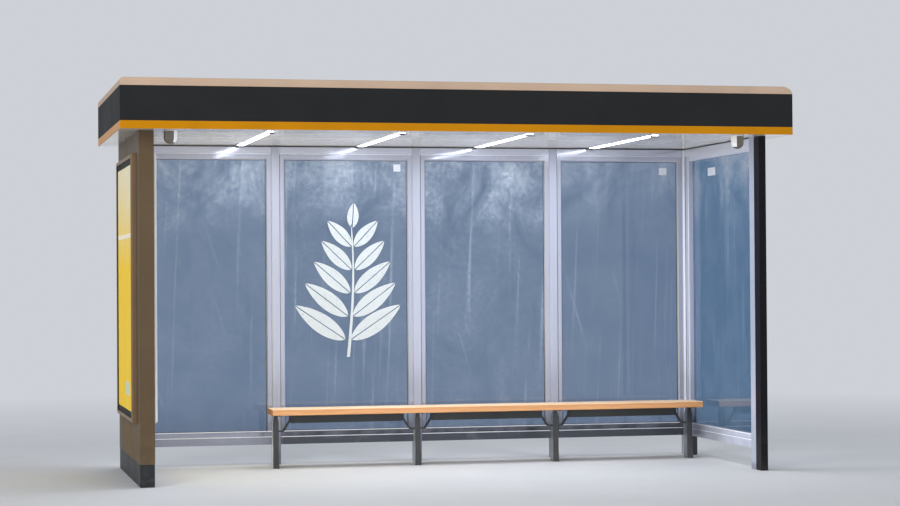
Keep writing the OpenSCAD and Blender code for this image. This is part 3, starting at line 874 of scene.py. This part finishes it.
@dataclass
class Roof:
    """The lit flat roof with its cap, fascias, soffit, lamps and dome cameras.

    The collar is an outline in shares of its radius and of its height.
    """

    edge: float = 0.0015
    lamp_edge: float = 0.002
    lamp_cap_length: float = 0.032
    lamp_cap_drop: float = 0.009
    rim_width: float = 0.004
    rim_edge: float = 0.0006
    collar: tuple[Pair, ...] = ((0, 1), (0.94, 1), (1, 0.8), (1, 0.2), (0.985, 0), (0, 0))
    globe_lip: float = 0.001
    globe_low: float = 84.0
    globe_steps: int = 14
    # The lit sides are painted highlights: pale shells over part of each globe, by angle, reach and steps.
    lit_side_angle: float = 130.0
    lit_side_low: float = 42.0
    lit_side_steps: int = 7

    def build(self) -> None:
        """Build and dress the whole roof."""
        softened("roof_cap", CAP_WARM_CAST, self.edge)
        softened("fascia_band", ANTHRACITE, self.edge)
        softened("fascia_stripe", YELLOW, self.edge)
        dress("roof_deck", BOARD)
        dress("roof_frame", ZINC)
        dress("soffit_panel", SOFFIT)
        dress("lamp_housings", ZINC)
        self.lamps()
        self.domes()

    def lamps(self) -> None:
        """Build the lamps' lit lenses, with their bright rims and dark end caps."""
        lens = Solid.of_node("lamp_lenses")
        lens.soften(self.lamp_edge)
        lens.finish("lamp_lens_set", LAMP, "lamp_lenses")
        low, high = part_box("lamp_lenses")
        spans = self.lamp_spans()
        ends = (low.y, low.y + self.lamp_cap_length), (high.y - self.lamp_cap_length, high.y)
        blocks("lamp_end_caps", SHADED_STEEL,
               [((x0 - self.rim_width, y0, low.z - self.lamp_cap_drop),
                 (x1 + self.rim_width, y1, low.z - MILLI / 2)) for x0, x1 in spans for y0, y1 in ends],
               self.lamp_edge, 2)
        blocks("lamp_rims", ALU_DEEP,
               [((x, low.y, low.z - MILLI), (x + self.rim_width, high.y, low.z + 3 * MILLI))
                for x0, x1 in spans for x in (x0 - self.rim_width, x1)], self.rim_edge)

    def lamp_spans(self) -> list[Pair]:
        """Return where each lens starts and ends along X."""
        places = sorted({round(v.co.x, 4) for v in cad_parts["lamp_lenses"].data.vertices})
        return list(zip(places[::2], places[1::2]))

    def domes(self) -> None:
        """Build the two dome cameras, turned about their upright axes."""
        low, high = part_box("dome_collars")
        wide, height = (high.y - low.y) / 2, high.z - low.z
        globe = wide - self.globe_lip
        drop = low.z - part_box("dome_globes")[0].z
        collars, globes, lit_sides = Solid(), Solid(), Solid()
        for x, facing in ((low.x + wide, 0.0), (high.x - wide, 180.0)):
            base = Vector((x, (low.y + high.y) / 2, low.z))
            collars.turned([(r * wide, z * height) for r, z in self.collar], base)
            bowl = self.bowl(globe, globe - drop, self.globe_low, self.globe_steps)
            globes.turned([(0, -MILLI / 10), (globe, -MILLI / 10), *bowl, (0, -drop)], base)
            cover = self.bowl(wide, globe - drop, self.lit_side_low, self.lit_side_steps)
            # Painted highlight: a white shell on each dome's side towards the lamps, for that lit side.
            lit_sides.shell([(wide, 0), *cover], base, facing, self.lit_side_angle, self.globe_lip)
        collars.finish("dome_collar_set", WHITE_HOUSING, "dome_collars")
        # The brown globe is the dome's shaded side, painted into its colour.
        globes.finish("dome_globe_set", DOME_SHADED_SIDE, "dome_globes")
        lit_sides.finish("dome_lit_sides", DOME_LIT_SIDE)

    def bowl(self, radius: float, height: float, reach: float, steps: int) -> list[Pair]:
        """Return points of an outline that starts upright and curves in below, by reach degrees."""
        angles = [math.radians(reach * step / steps) for step in range(steps + 1)]
        return [(radius * math.cos(a), height - radius * math.sin(a)) for a in angles]


@dataclass
class RearWall:
    """Four glazed bays between posts, under header pieces and over beams."""

    lap: float = 0.012
    stile_reach: float = 0.028
    edge: float = 0.0012
    gap_height: float = 0.007
    proud: float = 0.0015
    shadow_line: float = 0.003
    lip_depth: float = 0.003
    lip_low: float = 0.005
    lip_high: float = 0.0025
    lip_edge: float = 0.0006
    bead: float = 0.005
    gasket_width: float = 0.0022
    gasket_depth: float = 0.0016
    veils: tuple[float, ...] = (0.9, 1.0, 1.3, 0.5)
    seed_step: float = 4.3

    def build(self) -> None:
        """Build and dress the rear wall."""
        dress("rear_posts", ALU_UP)
        dress("corner_post", ALU_CORNER)
        softened("rear_header", ALU_HEAD, self.edge)
        softened("rear_beams", ALU_LONG, self.edge)
        softened("glazing_frames", ALU_FRAME, self.edge)
        for bay, veil in enumerate(self.veils, start=1):
            name = f"glass_bay_{bay}"
            glaze(name, ClearGlass(f"bay_glass_{bay}", "clear_glass", GLASS_TINT, GLASS_HAZE,
                                   seed=self.seed_step * bay, veil=veil))
            self.gaskets(name)
        self.gap_strip()
        self.shadow_lines_and_lips()

    def gaskets(self, glass: str) -> None:
        """Build the thin black gaskets round one sheet of glass, on both sides.

        Args:
            glass: The glass node.
        """
        low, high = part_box(glass)
        solid = Solid()
        for skin, sign in ((low.y, -1), (high.y, 1)):
            rubber = skin + sign * self.gasket_depth
            solid.ring((low.x + self.lap, low.z + self.lap), (high.x - self.lap, high.z - self.lap),
                       [(0, skin), (self.gasket_width, skin), (self.gasket_width / 2, rubber), (0, rubber)])
        solid.finish(glass + "_gaskets", RUBBER_AND_SHADOW)

    def shadow_lines_and_lips(self) -> None:
        """Build the painted shadow lines, thin dark strips at the posts' right sides, and the bright lips
        along the frames, painted as highlights.
        """
        low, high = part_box("glazing_frames")
        shadow_lines, lips = [], []
        for bay in range(1, len(self.veils) + 1):
            glass_low, glass_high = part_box(f"glass_bay_{bay}")
            x0, x1 = glass_low.x - self.stile_reach, glass_high.x + self.stile_reach
            if bay > 1:
                # Painted shadow: a dark strip where the post shades the frame beside it.
                shadow_lines.append(((x0, low.y - MILLI / 2, low.z), (x0 + self.shadow_line, low.y, high.z)))
            sill = glass_low.z + self.lap
            levels = (low.z, low.z + self.lip_low), (sill - self.bead, sill), (high.z - self.lip_high, high.z)
            # Painted highlights: near-white lips where the frames' edges catch the light.
            lips += [((x0 + self.shadow_line, low.y - self.lip_depth, z0), (x1 - self.shadow_line, low.y, z1))
                     for z0, z1 in levels]
        blocks("post_shadow_lines", RUBBER_AND_SHADOW, shadow_lines)
        blocks("frame_highlight_lips", PAINTED_HIGHLIGHT, lips, self.lip_edge)

    def gap_strip(self) -> None:
        """Build a thin dark strip where the wall's head meets the soffit."""
        low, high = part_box("rear_header")
        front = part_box("rear_posts")[0].y - self.proud
        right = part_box("side_top_rail")[0].x
        blocks("header_dark_line", DARK_LINE, [((low.x, front, high.z - self.gap_height), (right, low.y, high.z))])


@dataclass
class LeftEnd:
    """The thick end wall with its plinth and the poster case."""

    edge: float = 0.003
    panel_edge: float = 0.0008
    case_edge: float = 0.0015
    poster_rim: float = 0.012

    def build(self) -> None:
        """Build and dress the left end."""
        softened("left_plinth", FOOT_STEEL, self.edge)
        softened("left_front_pillar", TAUPE, self.edge, 3)
        softened("left_rear_pillar", TAUPE, self.edge, 3)
        softened("left_top_box", TAUPE, self.panel_edge)
        softened("left_lower_panel", TAUPE_LOW, self.panel_edge)
        dress("case_core", ZINC)
        softened("case_frame_outer", TAUPE_EDGE_LIT, self.case_edge)
        softened("case_frame_inner", ALU_CASE_LIT, self.case_edge)
        rim = Vector((0, self.poster_rim, self.poster_rim))
        for side in ("outer", "inner"):
            low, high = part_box(f"poster_{side}")
            dress(f"poster_{side}", Poster(f"printed_sheet_{side}", "poster", srgb(224, 216, 186),
                                           srgb(234, 200, 32), low + rim, high - rim))
            glaze(f"case_pane_{side}", PANE)


@dataclass
class RightEnd:
    """The dark front post and the glazed end panel."""

    edge: float = 0.0015
    post_edge: float = 0.004
    gap_height: float = 0.007
    proud: float = 0.0015
    shadow_line: float = 0.0015
    lip: float = 0.004
    lip_edge: float = 0.0006
    rib_place: float = 0.6700
    rib: float = 0.006
    bead: float = 0.005
    strip: Pair = (0.020, 0.004)

    def build(self) -> None:
        """Build and dress the right end."""
        softened("right_front_post", SHADED_STEEL, self.post_edge, 3)
        softened("side_jambs", ALU_JAMB, self.edge)
        softened("side_top_rail", ALU_TOP_LIT, self.edge)
        softened("side_bottom_rail", ALU_DEEP, self.edge)
        softened("side_beam", ALU_DEEP, self.edge)
        glaze("side_glass", ClearGlass("side_glass_body", "clear_glass", SIDE_TINT, GLASS_HAZE,
                                       haze=0.2, seed=9.0))
        self.soffit_line()
        self.trims()

    def trims(self) -> None:
        """Build the corner's painted shadow line and bright strip, the rail's bright lines and the jamb's
        bright rib, the bright ones all painted highlights.
        """
        rail_low, rail_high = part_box("side_bottom_rail")
        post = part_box("corner_post")[0]
        frame_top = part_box("glazing_frames")[1].z
        strip_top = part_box("rear_header")[1].z - self.gap_height
        face, skin = rail_low.x, rail_low.x - self.lip
        # Painted shadow: a dark strip beside the corner post.
        blocks("corner_shadow_line", RUBBER_AND_SHADOW, [((face - self.shadow_line, post.y - MILLI / 2, 0), (face, post.y, frame_top))])
        # Painted highlights: near-white lips on the rail, a rib on the jamb and a strip on the corner post.
        blocks("side_highlight_lips", PAINTED_HIGHLIGHT, [
            ((skin, rail_low.y, rail_low.z), (face, rail_high.y, rail_low.z + self.lip)),
            ((skin, rail_low.y, rail_high.z - self.bead), (face, rail_high.y, rail_high.z)),
            ((skin, self.rib_place, rail_low.z - self.lip), (face, self.rib_place + self.rib, frame_top)),
            ((face - self.strip[0], post.y - self.proud, rail_low.z),
             (face - self.strip[1], post.y, strip_top)),
        ], self.lip_edge)

    def soffit_line(self) -> None:
        """Build a thin dark strip where the panel's top rail meets the soffit."""
        low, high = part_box("side_top_rail")
        blocks("side_dark_line", DARK_LINE, [((low.x - self.proud, low.y, high.z - self.gap_height),
                                    (low.x, high.y, high.z))])


@dataclass
class Bench:
    """Two timber planks on bent steel cups, beams and legs."""

    plank_edge: float = 0.001
    steel_edge: float = 0.0025
    cup_edge: float = 0.0015
    rest_edge: float = 0.001

    def build(self) -> None:
        """Build and dress the bench."""
        softened("bench_plank_front", WOOD_FRONT, self.plank_edge)
        softened("bench_plank_rear", WOOD_REAR, self.plank_edge)
        softened("bench_beams", BENCH_STEEL, self.steel_edge)
        softened("cup_brackets", BENCH_STEEL, self.cup_edge)
        softened("bench_legs", LEG_STEEL, self.steel_edge)
        softened("seat_rests", BENCH_STEEL, self.rest_edge)


@dataclass
class GlassFilms:
    """The plant cut from white film on the second bay, and the small plain labels.

    Each label is its low and its high corner, across and up. The leaves' length, breadth
    and lean each have the lowest pair's value first, and then what it loses towards the
    top. The length is in shares of the plant's width, the lean in degrees, and the breadth
    loses a share of itself.
    """

    thickness: float = 0.0006
    lift: float = 0.0002
    wall_labels: tuple[tuple[float, ...], ...] = ((-0.155, 2.167, -0.102, 2.220),
                                                  (1.934, 2.151, 1.994, 2.205))
    side_label: tuple[float, ...] = (0.1585, 2.123, 0.3205, 2.183)
    low: Pair = (-0.872, 0.785)
    high: Pair = (-0.076, 1.930)
    foot_share: float = 0.46
    pairs: int = 5
    first_pair: float = 0.10
    pair_reach: float = 0.76
    leaf_length: Pair = (0.60, 0.32)
    leaf_breadth: Pair = (0.135, 0.35)
    leaf_lean: Pair = (56.0, 16.0)
    stem_height: float = 0.86
    stem_half: float = 0.012
    stem_taper: float = 0.7
    stem_lean: float = 0.05
    stem_bend: float = 2.4
    tip_share: float = 0.9
    tip_foot: float = 0.83
    tip_size: Pair = (0.17, 0.07)
    tip_lean: float = 4.0
    slit: float = 0.0035
    leaf_steps: int = 18
    stem_steps: int = 24

    def build(self) -> None:
        """Build the labels and the plant."""
        self.labels()
        self.plant()

    def labels(self) -> None:
        """Build the small square labels on the rear wall and on the end panel."""
        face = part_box("glass_bay_2")[0].y - self.lift
        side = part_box("side_glass")[0].x - self.lift
        tags = [((x0, face - self.thickness, z0), (x1, face, z1)) for x0, z0, x1, z1 in self.wall_labels]
        y0, z0, y1, z1 = self.side_label
        tags.append(((side - self.thickness, y0, z0), (side, y1, z1)))
        blocks("glass_labels", LABEL, tags)

    def plant(self) -> None:
        """Build a tall stem with paired leaves and a leaf at its tip."""
        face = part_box("glass_bay_2")[0].y - self.lift
        width, height = self.high[0] - self.low[0], self.high[1] - self.low[1]
        foot = Vector((self.low[0] + self.foot_share * width, face, self.low[1]))
        shape = Solid()
        for step in range(self.pairs):
            share = step / self.pairs
            root = foot + Vector((self.sway(share, width), 0,
                                  height * (self.first_pair + self.pair_reach * share)))
            length = width * (self.leaf_length[0] - self.leaf_length[1] * share)
            breadth = self.leaf_breadth[0] * (1 - self.leaf_breadth[1] * share)
            for side in (-1, 1):
                lean = side * (self.leaf_lean[0] - self.leaf_lean[1] * share)
                self.leaf(shape, root, length, breadth, lean)
        tip = foot + Vector((self.sway(self.tip_share, width), 0, self.tip_foot * height))
        self.leaf(shape, tip, *(share * height for share in self.tip_size), self.tip_lean)
        self.stem(shape, foot, width, self.stem_height * height)
        shape.finish("film_plant", FILM)

    def sway(self, share: float, width: float) -> float:
        """Return how far the stem leans to the side at a share of its height."""
        return self.stem_lean * width * math.sin(self.stem_bend * share)

    def ribbon(self, shape: Solid, steps: int) -> list[Vert]:
        """Add a flat strip one face wide, one unit wide and high about the origin."""
        return bmesh.ops.create_grid(shape.mesh, x_segments=1, y_segments=steps, size=0.5)["verts"]

    def stem(self, shape: Solid, foot: Vector, width: float, height: float) -> None:
        """Add the stem as a bent ribbon.

        Args:
            shape: The mesh to add to.
            foot: Where the stem starts.
            width: The plant's width.
            height: The stem's height.
        """
        made = self.ribbon(shape, self.stem_steps)
        for v in made:
            share = v.co.y + 0.5
            half = self.stem_half * (1 - self.stem_taper * share)
            aside = self.sway(share, width) + (half if v.co.x > 0 else -half)
            v.co = foot + Vector((aside, 0, height * share))
        self.thicken(shape, made)

    def leaf(self, shape: Solid, root: Vector, length: float, breadth: float, turn: float) -> None:
        """Add a leaf as two halves with a narrow slit between them.

        Args:
            shape: The mesh to add to.
            root: Where the leaf starts.
            length: How long the leaf is.
            breadth: How wide it is.
            turn: How far it leans from upright, in degrees, to the right.
        """
        spin = Matrix.Rotation(math.radians(turn), 4, "Y")
        for side in (-1, 1):
            made = self.ribbon(shape, self.leaf_steps)
            for v in made:
                share = v.co.y + 0.5
                reach = 0.5 * breadth * math.sin(math.pi * share ** 0.85) ** 0.8
                out = self.slit + (reach if v.co.x > 0 else 0.0)
                v.co = root + spin @ Vector((side * out, 0, length * (0.06 + 0.94 * share)))
            self.thicken(shape, made)

    def thicken(self, shape: Solid, points: list[Vert]) -> None:
        """Give a flat piece of film its thickness, towards the front.

        Args:
            shape: The mesh that holds it.
            points: The piece's vertices.
        """
        faces = list({f for v in points for f in v.link_faces})
        grown = bmesh.ops.extrude_face_region(shape.mesh, geom=faces, use_keep_orig=True)["geom"]
        moved = [g for g in grown if isinstance(g, Vert)]
        bmesh.ops.translate(shape.mesh, vec=(0, -self.thickness, 0), verts=moved)
        region = list({f for v in [*points, *moved] for f in v.link_faces})
        bmesh.ops.recalc_face_normals(shape.mesh, faces=region)


@dataclass
class Studio:
    """The camera at the photograph's viewpoint, the pale set and its plain light.

    The floor fades into the backdrop between the two distances of floor_fade.
    """

    eye: tuple[float, float, float] = (-3.507, -15.2985, 1.3429)
    turn: float = 13.2464
    rise: float = 0.7379
    roll: float = -0.3703
    lens: float = 87.706
    sensor: float = 36.0
    view_reach: float = 200.0
    backdrop: Colour = srgb(205, 209, 215)
    floor_reach: float = 60.0
    floor_fade: Pair = (4.0, 11.0)
    sky: Colour = (0.93, 0.96, 1.0)
    sky_strength: float = 0.62
    lamp_drop: float = 0.02

    def build(self) -> None:
        """Set up the camera, the floor, the world and the lamps."""
        self.camera()
        self.floor()
        self.world()
        self.lamps()

    def camera(self) -> None:
        """Stand the camera where the photograph was taken from."""
        turn, rise, roll = (math.radians(a) for a in (self.turn, self.rise, self.roll))
        ahead = Vector((math.sin(turn) * math.cos(rise), math.cos(turn) * math.cos(rise), math.sin(rise)))
        right = Vector((math.cos(turn), -math.sin(turn), 0))
        up = right.cross(ahead)
        side = right * math.cos(roll) + up * math.sin(roll)
        top = up * math.cos(roll) - right * math.sin(roll)
        data = bpy.data.cameras.new("view")
        data.sensor_width = self.sensor
        data.sensor_fit = "HORIZONTAL"
        data.lens = self.lens
        data.clip_end = self.view_reach
        eye = bpy.data.objects.new("view", data)
        eye.matrix_world = Matrix.Translation(self.eye) @ Matrix((side, top, -ahead)).transposed().to_4x4()
        bpy.context.scene.collection.objects.link(eye)
        bpy.context.scene.camera = eye

    def floor(self) -> None:
        """Lay the pale floor, which fades into the backdrop away from the shelter."""
        ground = bmesh.new()
        bmesh.ops.create_circle(ground, cap_ends=True, segments=96, radius=self.floor_reach)
        data = bpy.data.meshes.new("floor")
        ground.to_mesh(data)
        ground.free()
        floor = bpy.data.objects.new("floor", data)
        floor.location.z = -MILLI / 2
        bpy.context.scene.collection.objects.link(floor)
        shader = Shader("pale_floor")
        cloud = shader.noise(shader.place(), 1.3, detail=4.0)
        shader.give(Base_Color=shader.blend(cloud, srgb(198, 200, 204), srgb(210, 212, 215)), Roughness=0.9)
        distance = shader.add("VectorMath")
        distance.operation = "LENGTH"
        shader.feed(distance.inputs[0], shader.place())
        far = shader.spread(distance.outputs["Value"], *self.floor_fade)
        shader.show("Material Output", shader.product(far, shader.seen()), shader.surface.outputs[0],
                    shader.add("Emission", Color=self.backdrop).outputs[0])
        data.materials.append(shader.material)

    def world(self) -> None:
        """Light the set evenly, with the backdrop's colour where it is looked at."""
        world = bpy.data.worlds.new("studio")
        world.use_nodes = True
        bpy.context.scene.world = world
        tree = Nodes(world.node_tree)
        light = tree.fill(tree.nodes["Background"], Color=self.sky, Strength=self.sky_strength)
        tree.show("World Output", tree.seen(), light.outputs[0],
                  tree.add("Background", Color=self.backdrop).outputs[0])

    def lamps(self) -> None:
        """Hang the soft key and fill lamps, and the light that the shelter's own lamps throw."""
        self.soft_lamp("key", (-7.5, -8.5, 6.5), (0, 0, 1.2), (5.0, 5.0), 400, (1.0, 0.97, 0.93))
        self.soft_lamp("fill", (4.0, -13.0, 2.2), (0, 0, 1.3), (5.0, 3.0), 190, (0.96, 0.97, 1.0))
        self.soft_lamp("back", (2.0, 9.0, 6.0), (0, 0, 1.2), (5.0, 5.0), 140, (0.92, 0.95, 1.0))
        self.soft_lamp("bounce", (0, -0.5, 0.03), (0, -0.5, 3), (4.2, 0.9), 34, (0.97, 0.98, 1.0))
        low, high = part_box("lamp_lenses")
        y, z = (low.y + high.y) / 2 - 0.1, low.z - self.lamp_drop
        for index, (x0, x1) in enumerate(Roof().lamp_spans()):
            x = (x0 + x1) / 2
            self.soft_lamp(f"lamp_{index}", (x, y, z), (x, y, 0), (0.05, 1.1), 12, (0.90, 0.93, 1.0))

    def soft_lamp(self, name: str, place: Sequence[float], aim: Sequence[float], size: Pair,
                  power: float, colour: Colour) -> None:
        """Hang one soft lamp that lights the part without being mirrored in it.

        Args:
            name: The lamp's name.
            place: Where it hangs.
            aim: What it points at.
            size: The lengths of its sides.
            power: Its power in watts.
            colour: Its colour.
        """
        data = bpy.data.lights.new(name, "AREA")
        data.shape = "RECTANGLE"
        data.size, data.size_y = size
        data.energy = power
        data.color = colour
        lamp = bpy.data.objects.new(name, data)
        lamp.location = place
        lamp.rotation_euler = (Vector(aim) - Vector(place)).to_track_quat("-Z", "Y").to_euler()
        lamp.visible_camera = lamp.visible_glossy = lamp.visible_transmission = False
        bpy.context.scene.collection.objects.link(lamp)


def main() -> None:
    """Build the shelter's sub-assemblies in order, then the studio, with colours as written."""
    logging.basicConfig(level=logging.INFO, format="%(name)s: %(message)s")
    bpy.context.scene.view_settings.view_transform = "Standard"
    for assembly in (Roof(), RearWall(), LeftEnd(), RightEnd(), Bench(), GlassFilms(), Studio()):
        LOG.info("building %s", type(assembly).__name__)
        assembly.build()


if __name__ == "__main__":
    main()
